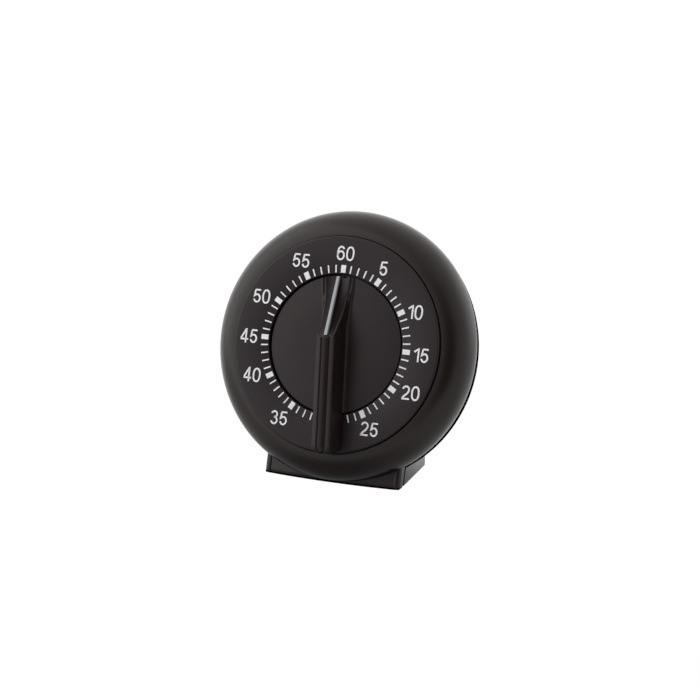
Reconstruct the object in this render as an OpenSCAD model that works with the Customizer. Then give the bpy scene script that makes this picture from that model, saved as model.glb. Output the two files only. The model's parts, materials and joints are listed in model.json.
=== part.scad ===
// Round wind-up countdown timer, standing on a small foot and leaning back.
// The timer is drawn about its dial axis, with Z towards the viewer and Y up the dial,
// and then leaned back onto its foot. "Depth" is measured behind the face of the dial.

/* [Case] */
// Radius of the round case at its widest
case_r = 38; // [36:0.5:42]
// Radius of the rounding of the case's front edge
rim_round = 8; // [7:0.25:9]
// Wall thickness of both housings
wall = 2; // [1.6:0.1:2.2]
// How far the band round the dial lies behind the face of the dial
band_drop = 1.2; // [0.8:0.1:1.6]
// Depth of the front housing's rear edge behind the widest part of its rim
rim_tail = 3.4; // [3:0.1:4.2]
// Width of the shadow gap between the two housings
seam_gap = 0.9; // [0.6:0.1:1.1]
// Radius of the flat back of the rear housing
back_r = 18.5; // [16:0.5:21]
// How much smaller than the front housing the rear housing is at that gap
rear_step = 0.3; // [0.1:0.1:0.6]
// Radius of the rear housing's domed side, seen in section
dome_round = 27.5; // [25:0.5:32]
// Free depth between the bell screw and the rear housing
back_room = 0.6; // [0.4:0.1:2]
// Length of the rear housing's lip inside the front housing
lip_l = 4.4; // [3:0.2:5]
// Thickness of that lip
lip_t = 1.6; // [1.2:0.1:1.8]
// Clearance round that lip
lip_gap = 0.2; // [0.1:0.05:0.3]

/* [Foot] */
// Angle by which the timer leans back
lean = 19; // [15:1:21]
// How far the flat underside cuts into the round rim
base_cut = 0.4; // [0.2:0.1:0.8]
// Width of the foot
foot_w = 40.4; // [36:0.4:46]
// Depth of the foot's front face at its two sides
foot_face_d = 9.6; // [9.2:0.1:11]
// How much further forward that face bulges in its middle
foot_bulge = 1; // [0.5:0.1:1.5]
// How far the panel in the foot's front face is sunk
foot_panel_drop = 0.5; // [0.3:0.1:0.8]
// Width of the upright bead at each side of that panel
foot_bead_w = 1.7; // [1.2:0.1:2.4]
// Height of the border below that panel
foot_border_h = 1.2; // [0.8:0.1:1.6]
// Distance from the dial's centre back to the foot's upright rear face
foot_back_y = 19.7; // [18:0.1:22]
// Height of the foot's upright rear face
foot_back_h = 8; // [6:0.5:10]
// Height at which the foot's sloping top runs into the dome
foot_top_h = 14; // [12:0.5:15]
// Distance from the dial's centre to that point
foot_top_y = 10; // [8:0.5:12]

/* [Dial] */
// Thickness of the dial plate
dial_t = 2.2; // [1.8:0.1:2.6]
// Rounding of the dial plate's outer edge
dial_edge = 0.8; // [0.4:0.1:1.2]
// Gap between the dial plate and the housing's band
dial_seat_gap = 0.1; // [0.05:0.05:0.2]
// Length of the minute marks
mark_l = 2.1; // [1.6:0.1:2.6]
// Distance of the marks from the edge of the dial's opening
mark_gap = 0.3; // [0.2:0.1:0.8]
// Width of a minute mark
mark_w = 0.38; // [0.3:0.02:0.6]
// Width of a five-minute mark
mark_major_w = 1.4; // [1:0.1:1.8]
// Thickness of the printed marks
print_t = 0.06; // [0.04:0.01:0.1]
// Radius of the dial plate's locating pins
dial_pin_r = 1; // [0.8:0.1:1.3]
// Distance of those pins from the rim of the dial plate
dial_pin_in = 3; // [2.5:0.1:3.5]

/* [Knob] */
// Angle of the pointer to the left of the sixty mark when the timer has run down
run_down_a = 4.3; // [0:0.1:8]
// Radius of the knob's disc
disc_r = 19; // [17.5:0.1:20]
// Thickness of the disc
disc_t = 1.8; // [1.2:0.1:2]
// How far the disc's face lies behind the face of the dial
disc_drop = 0.6; // [0.6:0.1:1]
// Gap round the disc, in the opening of the dial
disc_gap = 0.5; // [0.5:0.1:1]
// Gap behind the disc
disc_back_gap = 0.6; // [0.4:0.1:1]
// Width of the grip bar
grip_w = 5.4; // [4.8:0.1:6.4]
// Width of the grip bar at its pointer end
grip_flare_w = 7.8; // [6.8:0.1:9]
// Height of the grip bar above the dial
grip_h = 7.4; // [7:0.1:9]
// How far the grip bar reaches from the dial's centre
grip_reach = 30.1; // [27:0.5:32]
// Gap between the grip bar and the dial plate
grip_gap = 0.5; // [0.5:0.1:1.2]
// Radius of the scoop below the pointer rib, seen from the side
scoop_r = 23.6; // [23:0.1:26]
// Radius of the trough along the scoop
trough_r = 3; // [2.6:0.1:4]
// Depth of that trough
trough_depth = 0.7; // [0.4:0.1:1]
// Radius of the two flutes along the grip bar
flute_r = 0.7; // [0.5:0.05:0.8]
// Distance between the flutes
flute_gap = 2.2; // [1.9:0.1:2.4]
// Thickness of the pointer rib and of the pale strip on it
rib_t = 1.05; // [0.8:0.05:1.4]
// Where the pointer rib starts above the dial's centre
rib_start = 2.1; // [2.1:0.1:3]
// Height of the pointer rib above the disc's face at the disc's edge
rib_low_h = 1; // [0.8:0.1:1.6]
// Height of the pale strip along the pointer rib's edge
strip_h = 0.9; // [0.7:0.1:1.2]
// Radius of the hub behind the disc
hub_r = 4.6; // [4:0.1:5]
// Clearance round the hub in the front housing
hub_gap = 0.5; // [0.3:0.1:0.8]

/* [Movement] */
// Radius of the two plates
plate_r = 22.8; // [22.5:0.1:23.2]
// Thickness of the two plates
plate_t = 1.2; // [1:0.1:1.6]
// Length of the bosses that carry the front plate
boss_l = 1.6; // [1.2:0.1:2.4]
// Distance of the plate pillars from the axis
pillar_circle_r = 20.6; // [20.4:0.1:20.9]
// Radius of a plate pillar
pillar_r = 1.5; // [1.2:0.1:1.7]
// How far the pillar screws reach into the pillars
pillar_grip = 2; // [1.5:0.1:3]
// Distance of the movement's screws from the axis
movement_screw_circle_r = 20.3; // [20.2:0.1:20.4]
// Radius of the winding arbor
winding_r = 2; // [1.8:0.1:2.1]
// Radius of the winding arbor's rear pivot
winding_pivot_r = 1.5; // [1.3:0.1:1.6]
// Radius of the train arbors
arbor_r = 0.9; // [0.8:0.05:1]
// Radius of the pivots at both ends of the train arbors
pivot_r = 0.6; // [0.5:0.05:0.7]
// Running clearance round shafts and pivots
run_gap = 0.05; // [0.03:0.01:0.08]
// Thickness of the main wheel
main_t = 1; // [0.8:0.1:1.2]
// Radius of the spring washer behind the main wheel
washer_r = 4; // [3.4:0.1:4.6]
// Thickness of that washer
washer_t = 0.4; // [0.3:0.05:0.5]
// Thickness of the other wheels
wheel_t = 0.8; // [0.6:0.1:1]
// Height of the mainspring
spring_h = 4; // [3:0.2:5]
// Thickness of the mainspring's strip
spring_strip_t = 0.3; // [0.2:0.05:0.4]
// Turns of the mainspring
spring_turns = 6; // [5:1:7]
// Outer radius of the mainspring
spring_r = 12; // [11:0.5:12.5]
// Free height between neighbouring pieces of the movement
level_gap = 0.3; // [0.2:0.05:0.5]

/* [Train] */
// Tooth size of the main wheel, its pitch diameter over its teeth
main_module = 0.4; // [0.38:0.01:0.42]
// Tooth size of the second and third wheels
train_module = 0.35; // [0.33:0.01:0.37]
// Radius of the escape wheel
escape_r = 5; // [4.6:0.1:5.2]
// Distance between the escape wheel and the pallet arbor
pallet_span = 7.5; // [7.4:0.1:7.8]
// Radius of the balance wheel
balance_r = 4.6; // [4:0.1:5]

/* [Bell] */
// Outer radius of the bell
bell_r = 15; // [14:0.25:15.25]
// Depth of the bell
bell_depth = 3.4; // [3:0.2:5]
// Thickness of the bell's metal
bell_t = 0.8; // [0.6:0.1:1]
// How far the bell's post stands below the dial's axis
bell_low = 4; // [4:0.1:4.3]
// Radius of the bell's post
bell_post_r = 2; // [1.8:0.1:2.2]
// Gap between the hammer and the bell at rest
hammer_gap = 0.6; // [0.5:0.1:1]
// Radius of the hammer's head
hammer_head_r = 1.6; // [1.2:0.1:1.8]

/* [Screws] */
// Distance of the case screws from the dial's axis
post_circle_r = 27.5; // [27.3:0.1:28.5]
// Radius of the rear housing's screw posts
post_r = 3.8; // [3.6:0.1:3.9]
// Radius of the case screws' heads
case_head_r = 2.4; // [2:0.1:2.5]
// Height of those heads
case_head_h = 1.5; // [1.2:0.1:1.8]
// Radius of the case screws' shanks
case_shank_r = 1.2; // [1:0.1:1.3]
// Length of the case screws
case_screw_l = 10; // [8:0.5:11]
// Length of the rear housing's screw posts in front of those heads
screw_seat_l = 4.2; // [3.6:0.2:5]
// Radius of the small screws' shanks
small_shank_r = 0.7; // [0.6:0.05:0.8]
// Height of the small screws' heads
small_head_h = 0.8; // [0.6:0.1:1]

/* [Hidden] */
$fn = 72;
fit = 0.02;            // clearance of pieces that are pressed or screwed together
over = 1;              // how far a cutting shape runs past what it cuts
big = 60;              // larger than any half of the case

// Case
rim_c_r = case_r - rim_round;
rim_c_d = band_drop + rim_round;
seam_d = rim_c_d + rim_tail;
seam_r = rim_c_r + sqrt(pow(rim_round, 2) - pow(rim_tail, 2));
rear_d = seam_d + seam_gap;
lip_r = rim_c_r + sqrt(pow(rim_round - wall, 2) - pow(rim_tail, 2)) - lip_gap;
seat_d = seam_d + screw_seat_l;
axis_h = rim_c_r * cos(lean) + rim_c_d * sin(lean) + rim_round - base_cut;
foot_face_r = (pow(foot_w / 2, 2) + pow(foot_bulge, 2)) / (2 * foot_bulge);
underside_front_y = min(
    rim_c_d * cos(lean) - rim_c_r * sin(lean) - sqrt(base_cut * (2 * rim_round - base_cut)),
    (foot_face_d - foot_bulge - axis_h * sin(lean)) / cos(lean)
);
dial_y = -(foot_back_y + underside_front_y) / 2;

// Dial and knob
dial_r = rim_c_r - dial_seat_gap;
dial_hole_r = disc_r + disc_gap;
dial_pin_circle_r = dial_r - dial_pin_in;
disc_back_d = disc_drop + disc_t;
face_floor_d = disc_back_d + disc_back_gap;
face_back_d = max(face_floor_d, dial_t) + wall * 0.7;
hub_back_d = face_back_d + boss_l - 0.5;
front_post_r = post_r - 0.6;
boss_r = small_shank_r + 1.6;
boss_hole_d = max(face_floor_d, dial_t) + 0.3;
socket_h = 1.5;        // how far the winding arbor reaches in front of the dial
rib_top = [rib_start, grip_h - 0.1];    // the two ends of the pointer rib's straight edge
rib_foot = [disc_r - 0.1, rib_low_h - disc_drop];
strip_outline = [rib_top, rib_foot, rib_foot - [0, strip_h], rib_top - [0, strip_h]];
flat_share = 0.7;      // the flat on the arbor lies at this share of its radius

// Movement, from front to back
front_plate_d = face_back_d + boss_l;
inside_d = front_plate_d + plate_t;
spring_d = inside_d + small_head_h + 2 * level_gap;
ratchet_d = spring_d + spring_h + level_gap;
ratchet_t = 0.7;
main_d = ratchet_d + ratchet_t + level_gap / 2;
washer_d = main_d + main_t + 0.05;
second_d = washer_d + washer_t + 3 * level_gap;
third_d = second_d + wheel_t + 3 * level_gap;
cam_d = third_d + wheel_t + level_gap;
cam_t = 0.6;
back_plate_d = cam_d + cam_t + 2 * level_gap;
back_plate_end_d = back_plate_d + plate_t;
escape_d = second_d;
pallet_d = escape_d - wheel_t + 0.1;
pallet_t = 0.4;
balance_d = escape_d + wheel_t + 2 * level_gap;
bell_d = back_plate_end_d + small_head_h;
bell_back_d = bell_d + bell_depth;
case_depth = bell_back_d + small_head_h + back_room + wall;

// Tooth counts, and the places of the arbors
main_teeth = 60;
second_pinion_leaves = 10;
second_teeth = 50;
third_pinion_leaves = 10;
third_teeth = 48;
escape_pinion_leaves = 8;
escape_teeth = 15;
ratchet_teeth = 24;
second_a = 200;
third_a = 87;
escape_a = 52;
pallet_a = 20;
second_p = polar((main_teeth + second_pinion_leaves) * main_module / 2, second_a);
third_p = second_p
    + polar((second_teeth + third_pinion_leaves) * train_module / 2, third_a);
escape_p = third_p
    + polar((third_teeth + escape_pinion_leaves) * train_module / 2, escape_a);
pallet_p = escape_p + polar(pallet_span, pallet_a);
wheel_tooth = [0.9, 1.2, 0.16, 0.56];    // height above and below the pitch circle, in
pinion_tooth = [0.7, 1.3, 0.16, 0.56];   // modules; share of the pitch at tip and root
ratchet_r = 5;
pillar_as = [60, 236, 290, 345];
movement_screw_as = [45, 165, 275];
post_as = [45, 135, 225, 315];
dial_pin_as = [90, 210, 330];
spring_post_a = -10;
spring_in_r = winding_r + 1.4;
spring_post_r = 0.7;
spring_post_p = polar(spring_r + spring_strip_t / 2 + spring_post_r + fit, spring_post_a);
winding_flat = winding_r * flat_share;
click_a = 72;
click_circle_r = 8;
click_pin_r = 0.5;

// Bell and hammer
bell_p = [0, -bell_low];
hammer_a = 45;
hammer_head_p = bell_p + polar(bell_r + hammer_gap + hammer_head_r, hammer_a);
hammer_arm_l = 9.2;
hammer_p = hammer_head_p + polar(hammer_arm_l, hammer_a - 88);
hammer_d = bell_d + 1;
hammer_arm_t = 0.8;
hammer_arm_w = 1.6;
hammer_wire_w = 0.4;
hammer_coil_r = arbor_r + 0.4;
hammer_spring_p = hammer_p + [-hammer_coil_r - hammer_wire_w / 2, -4];
hammer_foot_r = hammer_wire_w * 0.45;
bell_stud_r = 1.2;
bell_screw_l = 2.2;
cam_r = 6;

function polar(r, a) = [r * cos(a), r * sin(a)];
function bush_r(r) = r + (r < winding_r ? 0.6 : 1.2);    // the rear bush is a thin one

// The section of the domed side runs through the seam's edge and the flat back's edge
dome_edge_r = seam_r - rear_step;
dome_half = norm([dome_edge_r - back_r, case_depth - rear_d]) / 2;
dome_dir = [case_depth - rear_d, dome_edge_r - back_r] / (2 * dome_half);
dome_back_off = sqrt(pow(dome_round, 2) - pow(dome_half, 2));
dome_c_r = (dome_edge_r + back_r) / 2 - dome_dir[0] * dome_back_off;
dome_c_d = (rear_d + case_depth) / 2 - dome_dir[1] * dome_back_off;

// A round slab about the dial's axis, between two depths
module slab(r, d0, d1) {
    translate([0, 0, -d1]) cylinder(r = r, h = d1 - d0);
}

// A slab with its axis at the point p
module slab_at(p, r, d0, d1) {
    translate([p[0], p[1], 0]) slab(r, d0, d1);
}

module ring_slab(r_out, r_in, d0, d1) {
    difference() {
        slab(r_out, d0, d1);
        slab(r_in, d0 - over, d1 + over);
    }
}

// Leans the timer back and sets it on the floor
module leaned() {
    translate([0, dial_y, axis_h]) rotate([90 - lean, 0, 0]) children();
}

// The same, the other way: a shape drawn above the floor, seen from the dial's axes
module upright() {
    rotate([lean - 90, 0, 0]) translate([0, -dial_y, -axis_h]) children();
}

// Everything above the height h over the floor
module above_floor(h) {
    upright() translate([-big, -big, h]) cube([2 * big, 2 * big, 2 * big]);
}

// A straight-sided tooth on each of n places round a wheel of module m
module toothed(n, m, t, d, tooth) {
    r_tip = n * m / 2 + tooth[0] * m;
    r_root = n * m / 2 - tooth[1] * m;
    outline = [
        for (i = [0 : n - 1], corner = [[-1, 3], [-1, 2], [1, 2], [1, 3]])
        polar(corner[1] == 3 ? r_root : r_tip, 360 / n * (i + corner[0] * tooth[corner[1]] / 2))
    ];
    translate([0, 0, -d - t]) linear_extrude(t) polygon(outline);
}

// Case pieces

module rim_section() {
    intersection() {
        union() {
            translate([0, -seam_d]) square([rim_c_r, seam_d - band_drop]);
            translate([rim_c_r, -rim_c_d]) circle(r = rim_round);
        }
        translate([0, -seam_d]) square([case_r + over, seam_d - band_drop]);
    }
}

module rim_hollow_section() {
    hollow_end_d = seam_d + over;
    intersection() {
        union() {
            translate([0, -hollow_end_d]) square([rim_c_r, hollow_end_d - face_back_d]);
            translate([rim_c_r, -rim_c_d]) circle(r = rim_round - wall);
            translate([0, -hollow_end_d])
                square([lip_r + lip_gap, hollow_end_d - seam_d + lip_l]);
        }
        translate([0, -hollow_end_d]) square([case_r, hollow_end_d - face_back_d]);
    }
}

// Everything behind the foot's bulging face, which is part of a wide cylinder; or behind a
// face that is sunk into it
module behind_foot_face(sunk) {
    translate([0, 0, foot_bulge - foot_face_d - foot_face_r]) rotate([90, 0, 0])
        cylinder(r = foot_face_r - sunk, h = big, $fn = 720);
}

module foot_front_half() {
    panel_w = foot_w - 2 * foot_bead_w;
    difference() {
        intersection() {
            translate([-foot_w / 2, -case_r - over * 4, -seam_d]) cube([foot_w, case_r, seam_d]);
            behind_foot_face(0);
        }
        difference() {
            intersection() {
                translate([-panel_w / 2, -big, -seam_d]) cube([panel_w, big, seam_d]);
                above_floor(foot_border_h);
            }
            behind_foot_face(foot_panel_drop);
        }
    }
}

module front_housing() {
    color("#2c2a2b") leaned() intersection() {
        difference() {
            union() {
                rotate_extrude() rim_section();
                difference() {
                    foot_front_half();
                    slab(lip_r + lip_gap + wall / 2, foot_face_d - foot_bulge - over, seam_d + over);
                }
            }
            difference() {
                rotate_extrude() rim_hollow_section();
                for (a = post_as)
                    slab_at(polar(post_circle_r, a), front_post_r, face_back_d - over, seam_d);
                for (a = movement_screw_as)
                    slab_at(polar(movement_screw_circle_r, a), boss_r, face_back_d - over,
                            front_plate_d);
            }
            slab(dial_r + dial_seat_gap, -over, dial_t);
            slab(dial_hole_r, 0, face_floor_d);
            slab(hub_r + hub_gap, 0, face_back_d + over);
            for (a = dial_pin_as)
                slab_at(polar(dial_pin_circle_r, a), dial_pin_r + run_gap, 0, face_back_d + over);
            for (a = post_as)
                slab_at(polar(post_circle_r, a), case_shank_r + fit, seat_d - case_screw_l - over,
                        seam_d + over);
            for (a = movement_screw_as)
                slab_at(polar(movement_screw_circle_r, a), small_shank_r + fit,
                        boss_hole_d, front_plate_d + over);
        }
        above_floor(0);
    }
}

// Half the section of the rear housing; its inner wall with an inset
module dome_section(inset) {
    front_d = rear_d + inset;
    back_d = case_depth - inset;
    intersection() {
        translate([dome_c_r, -dome_c_d]) circle(r = dome_round - inset, $fn = 144);
        translate([0, -back_d]) square([case_r, back_d - front_d]);
    }
    translate([0, -back_d]) square([max(dome_c_r, 1), back_d - front_d]);
}

// The foot behind the seam, seen from the side and run across
module foot_rear_half(inset) {
    upright() translate([foot_w / 2 - inset, dial_y, 0]) rotate([90, 0, -90])
        linear_extrude(foot_w - 2 * inset) polygon([
            [case_r, inset], [-foot_back_y + inset, inset],
            [-foot_back_y + inset, foot_back_h - inset],
            [-foot_top_y, foot_top_h - inset], [case_r, foot_top_h - inset]
        ]);
}

module rear_housing() {
    lip_front_d = seam_d - lip_l;
    color("#2a2829") leaned() intersection() {
        difference() {
            union() {
                rotate_extrude() dome_section(0);
                intersection() {
                    foot_rear_half(0);
                    slab(big, rear_d, big);
                }
                slab(lip_r, lip_front_d, rear_d + over);
            }
            difference() {
                union() {
                    rotate_extrude() dome_section(wall);
                    slab(lip_r - lip_t, lip_front_d - over, rear_d + wall + over);
                    intersection() {
                        foot_rear_half(wall);
                        slab(big, rear_d + wall, big);
                    }
                }
                for (a = post_as) slab_at(polar(post_circle_r, a), post_r, seam_d, big);
            }
            for (a = post_as) {
                slab_at(polar(post_circle_r, a), case_head_r + 0.2, seat_d, big);
                slab_at(polar(post_circle_r, a), case_shank_r + 0.15, seam_d - over, seat_d + over);
            }
        }
        above_floor(0);
    }
}

module dial_plate() {
    color("#2f2d2e") leaned() {
        rotate_extrude() {
            translate([dial_hole_r, -dial_t])
                square([dial_r - dial_hole_r - dial_edge, dial_t]);
            translate([dial_hole_r, -dial_t])
                square([dial_r - dial_hole_r, dial_t - dial_edge]);
            translate([dial_r - dial_edge, -dial_edge]) circle(r = dial_edge);
        }
        for (a = dial_pin_as)
            slab_at(polar(dial_pin_circle_r, a), dial_pin_r, dial_t, face_back_d - 0.3);
    }
}

module minute_marks() {
    color("#e4e4e0") leaned() for (i = [0 : 59]) {
        w = i % 5 == 0 ? mark_major_w : mark_w;
        rotate([0, 0, -6 * i]) translate([-w / 2, dial_hole_r + mark_gap, 0])
            cube([w, mark_l, print_t]);
    }
}

module case_screws() {
    color("#b9bcc0") leaned() for (a = post_as)
        screw(polar(post_circle_r, a), case_head_r, case_head_h, case_shank_r, case_screw_l, seat_d, 1);
}

// Knob pieces, turned to where the timer has run down

module grip_plan() {
    half = grip_w / 2;
    translate([0, half - grip_reach]) circle(r = half);
    polygon([
        [-half, half - grip_reach], [half, half - grip_reach], [half, rib_start],
        [grip_flare_w / 2, disc_r], [-grip_flare_w / 2, disc_r], [-half, rib_start]
    ]);
}

module grip_bar() {
    sunk = disc_drop + disc_t / 2;
    intersection() {
        translate([0, 0, -sunk]) linear_extrude(grip_h + sunk) grip_plan();
        union() {
            slab(disc_r, -grip_h - over, disc_back_d);
            translate([-case_r, -case_r, grip_gap]) cube([2 * case_r, case_r, grip_h + over]);
        }
    }
}

// A torus-shaped trough between two flat shoulders
module scoop() {
    translate([0, disc_r, scoop_r - disc_drop]) rotate([0, 90, 0]) rotate_extrude($fn = 144) {
        translate([scoop_r - trough_r, 0]) circle(r = trough_r);
        translate([0, -grip_flare_w]) square([scoop_r - trough_depth, 2 * grip_flare_w]);
    }
}

module flutes() {
    end_y = -grip_reach + 1.5;
    for (x = [-flute_gap / 2, flute_gap / 2]) translate([x, end_y, grip_h]) {
        sphere(r = flute_r);
        rotate([-90, 0, 0]) cylinder(r = flute_r, h = grip_reach + rib_start);
    }
}

// The winding arbor's flatted end, or with a gap the socket for it
module flatted_end(gap, d0, d1) {
    difference() {
        slab(winding_r + gap, d0, d1);
        translate([-big, winding_flat + gap, -d1 - over]) cube([2 * big, big, d1 - d0 + 2 * over]);
    }
}

// A fin along the bar, seen from its side
module rib_shape(thick, outline) {
    translate([-thick / 2, 0, 0]) rotate([90, 0, 90]) linear_extrude(thick) polygon(outline);
}

module knob() {
    root_h = -disc_drop - disc_t * 0.45;
    color("#2b2829") leaned() rotate([0, 0, run_down_a]) difference() {
        union() {
            difference() {
                union() {
                    slab(disc_r, disc_drop, disc_back_d);
                    slab(hub_r, disc_drop, hub_back_d);
                    grip_bar();
                }
                scoop();
                flutes();
            }
            rib_shape(rib_t, [
                rib_top, rib_foot, [rib_foot[0], root_h], [disc_r / 2, root_h],
                [rib_start, grip_h * 0.3]
            ]);
        }
        flatted_end(fit, -socket_h - 0.3, hub_back_d + over);
        rib_shape(rib_t + 2 * fit, strip_outline);
    }
}

module pointer_rib() {
    color("#d8dadb") leaned() rotate([0, 0, run_down_a]) rib_shape(rib_t, strip_outline);
}

// Building blocks of the movement

// A screw at the point p, its head's underside at depth d; side is 1 with the head behind
// the shank and -1 with the head in front of it
module screw(p, head_r, head_h, shank_r, l, d, side) {
    slot_w = head_r / 3;
    translate([p[0], p[1], -d]) mirror([0, 0, side > 0 ? 1 : 0]) difference() {
        union() {
            cylinder(r = head_r, h = head_h);
            translate([0, 0, -l]) cylinder(r = shank_r, h = l + head_h / 2);
        }
        translate([-head_r - over, -slot_w / 2, head_h / 2])
            cube([2 * (head_r + over), slot_w, head_h]);
    }
}

module small_screw(p, l, d, side) {
    screw(p, 2 * small_shank_r, small_head_h, small_shank_r, l, d, side);
}

// A straight arm between the points p and q
module arm(p, q, w, d0, d1) {
    slab_at(p, w / 2, d0, d1);
    slab_at(q, w / 2, d0, d1);
    translate([p[0], p[1], -d1]) rotate([0, 0, atan2(q[1] - p[1], q[0] - p[0])])
        translate([0, -w / 2, 0]) cube([norm(q - p), w, d1 - d0]);
}

// A movement plate whose front is at depth d; holes are pairs of a point and a radius
module plate(d, holes) {
    difference() {
        slab(plate_r, d, d + plate_t);
        for (hole = holes) slab_at(hole[0], hole[1], d - over, d + plate_t + over);
    }
}

// An arbor with its pinion's leaves between the depths d0 and d1
module pinion(p, leaves, m, a, d0, d1) {
    slab_at(p, arbor_r, inside_d + level_gap, back_plate_d - level_gap);
    slab_at(p, pivot_r, front_plate_d + 0.1, back_plate_end_d - 0.1);
    translate([p[0], p[1], 0]) rotate([0, 0, a + 180 + 180 / leaves])
        toothed(leaves, m, d1 - d0, d0, pinion_tooth);
}

// A wheel on its arbor, crossed out by round holes
module wheel(p, n, m, a, d) {
    hole_r = n * m * 0.13;
    difference() {
        translate([p[0], p[1], 0]) rotate([0, 0, a]) toothed(n, m, wheel_t, d, wheel_tooth);
        slab_at(p, arbor_r + fit, d - over, d + wheel_t + over);
        for (k = [0 : 4])
            slab_at(p + polar(n * m * 0.29, a + 72 * k), hole_r, d - over, d + wheel_t + over);
    }
}

// Movement pieces

module front_plate() {
    color("#c2a35a") leaned() plate(front_plate_d, concat(
        [[[0, 0], bush_r(winding_r) + fit], [spring_post_p, spring_post_r + fit]],
        [for (p = [second_p, third_p, escape_p, pallet_p, hammer_p]) [p, pivot_r + run_gap]],
        [for (a = pillar_as) [polar(pillar_circle_r, a), small_shank_r + fit]],
        [for (a = movement_screw_as) [polar(movement_screw_circle_r, a), small_shank_r + fit]]
    ));
}

module back_plate() {
    color("#c2a35a") leaned() plate(back_plate_d, concat(
        [[[0, 0], bush_r(winding_pivot_r) + fit], [hammer_p, arbor_r + run_gap]],
        [[bell_p, bell_stud_r + fit], [hammer_spring_p, hammer_foot_r + fit]],
        [for (p = [second_p, third_p, escape_p, pallet_p]) [p, pivot_r + run_gap]],
        [for (a = pillar_as) [polar(pillar_circle_r, a), small_shank_r + fit]]
    ));
}

module plate_pillars() {
    color("#b8994f") leaned() for (a = pillar_as) difference() {
        slab_at(polar(pillar_circle_r, a), pillar_r, inside_d, back_plate_d);
        for (d = [inside_d, back_plate_d])
            slab_at(polar(pillar_circle_r, a), small_shank_r + fit, d - pillar_grip - 0.5,
                    d + pillar_grip + 0.5);
    }
}

module pillar_screws() {
    color("#9da1a6") leaned() for (a = pillar_as) {
        small_screw(polar(pillar_circle_r, a), plate_t + pillar_grip, front_plate_d, -1);
        small_screw(polar(pillar_circle_r, a), plate_t + pillar_grip, back_plate_end_d, 1);
    }
}

module movement_screws() {
    color("#9da1a6") leaned() for (a = movement_screw_as)
        small_screw(polar(movement_screw_circle_r, a), inside_d - boss_hole_d - 0.3, inside_d, 1);
}

module arbor_bushes() {
    color("#d0b060") leaned() {
        ring_slab(bush_r(winding_r), winding_r + run_gap, front_plate_d - 0.3, inside_d + 0.3);
        ring_slab(bush_r(winding_pivot_r), winding_pivot_r + run_gap, back_plate_d - 0.2,
                  back_plate_end_d);
    }
}

// A flat strip along a spiral from the winding arbor's hub to the spring post
module mainspring() {
    steps = spring_turns * 24;
    pitch = (spring_r - spring_in_r) / steps;
    function edge(i, side) = polar(spring_in_r + pitch * i + side * spring_strip_t / 2,
                                   spring_post_a + 15 * (i - steps));
    color("#6f7780") leaned() translate([0, 0, -spring_d - spring_h])
        linear_extrude(spring_h) polygon(concat(
            [for (i = [0 : steps]) edge(i, -1)], [for (i = [steps : -1 : 0]) edge(i, 1)]
        ));
}

module spring_post() {
    color("#8d9299") leaned()
        slab_at(spring_post_p, spring_post_r, front_plate_d, spring_d + spring_h);
}

module bell() {
    round_r = bell_depth / 2;
    color("#b9a98a") leaned() translate([bell_p[0], bell_p[1], 0]) rotate_extrude()
        difference() {
            bell_section(0, round_r);
            bell_section(bell_t, round_r);
            translate([0, -bell_back_d - over]) square([small_shank_r + run_gap, case_depth]);
        }
}

// Half the bell's section, open to the front; its inner face with an inset
module bell_section(inset, round_r) {
    r = bell_r - inset;
    back_d = bell_back_d - inset;
    front_d = bell_d - (inset > 0 ? over : 0);
    translate([0, -back_d]) square([r - round_r + inset, back_d - front_d]);
    translate([0, round_r - inset - back_d]) square([r, back_d - front_d - round_r + inset]);
    translate([r - round_r + inset, round_r - inset - back_d]) circle(r = round_r - inset);
}

module bell_post() {
    inner_d = bell_back_d - bell_t;
    color("#8d9299") leaned() difference() {
        union() {
            slab_at(bell_p, bell_stud_r, back_plate_d, back_plate_end_d + over);
            slab_at(bell_p, bell_post_r, back_plate_end_d, inner_d);
        }
        slab_at(bell_p, small_shank_r + fit, inner_d - bell_screw_l, inner_d + over);
    }
}

module bell_screw() {
    color("#9da1a6") leaned()
        screw(bell_p, 1.9, small_head_h, small_shank_r, bell_t + bell_screw_l - 0.3, bell_back_d, 1);
}

module winding_arbor() {
    hub_d = spring_d - 0.1;
    color("#a4a8ad") leaned() {
        rotate([0, 0, run_down_a]) flatted_end(0, -socket_h, hub_back_d + 0.1);
        slab(winding_r, hub_back_d, back_plate_d - level_gap);
        slab(spring_in_r - 0.4, hub_d, spring_d + spring_h + 0.1);
        slab(winding_pivot_r, hub_d, back_plate_end_d);
    }
}

module ratchet_wheel() {
    color("#8b8f95") leaned() difference() {
        translate([0, 0, -ratchet_d - ratchet_t]) linear_extrude(ratchet_t) polygon([
            for (i = [0 : ratchet_teeth - 1], k = [0, 1])
            polar(ratchet_r - 0.6 + 0.6 * k, 360 / ratchet_teeth * (i + 0.9 * k))
        ]);
        slab(winding_r + fit, ratchet_d - over, ratchet_d + ratchet_t + over);
    }
}

module click() {
    pivot_p = polar(click_circle_r, click_a);
    nose_p = polar(ratchet_r + 0.5, click_a + 36);
    color("#8b8f95") leaned() {
        slab_at(pivot_p, 1.2, ratchet_d, ratchet_d + ratchet_t);
        arm(pivot_p, nose_p, 0.6, ratchet_d, ratchet_d + ratchet_t);
        slab_at(pivot_p, click_pin_r, ratchet_d, main_d + main_t);
    }
}

module main_wheel() {
    color("#cdae62") leaned() difference() {
        rotate([0, 0, second_a])
            toothed(main_teeth, main_module, main_t, main_d, wheel_tooth);
        slab(winding_r + run_gap, main_d - over, main_d + main_t + over);
        for (k = [0 : 4]) slab_at(polar(7.5, click_a + 36 + 72 * k), 2.4, main_d - over,
                                  main_d + main_t + over);
        slab_at(polar(click_circle_r, click_a), click_pin_r + fit, main_d - over,
                main_d + main_t + over);
    }
}

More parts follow.
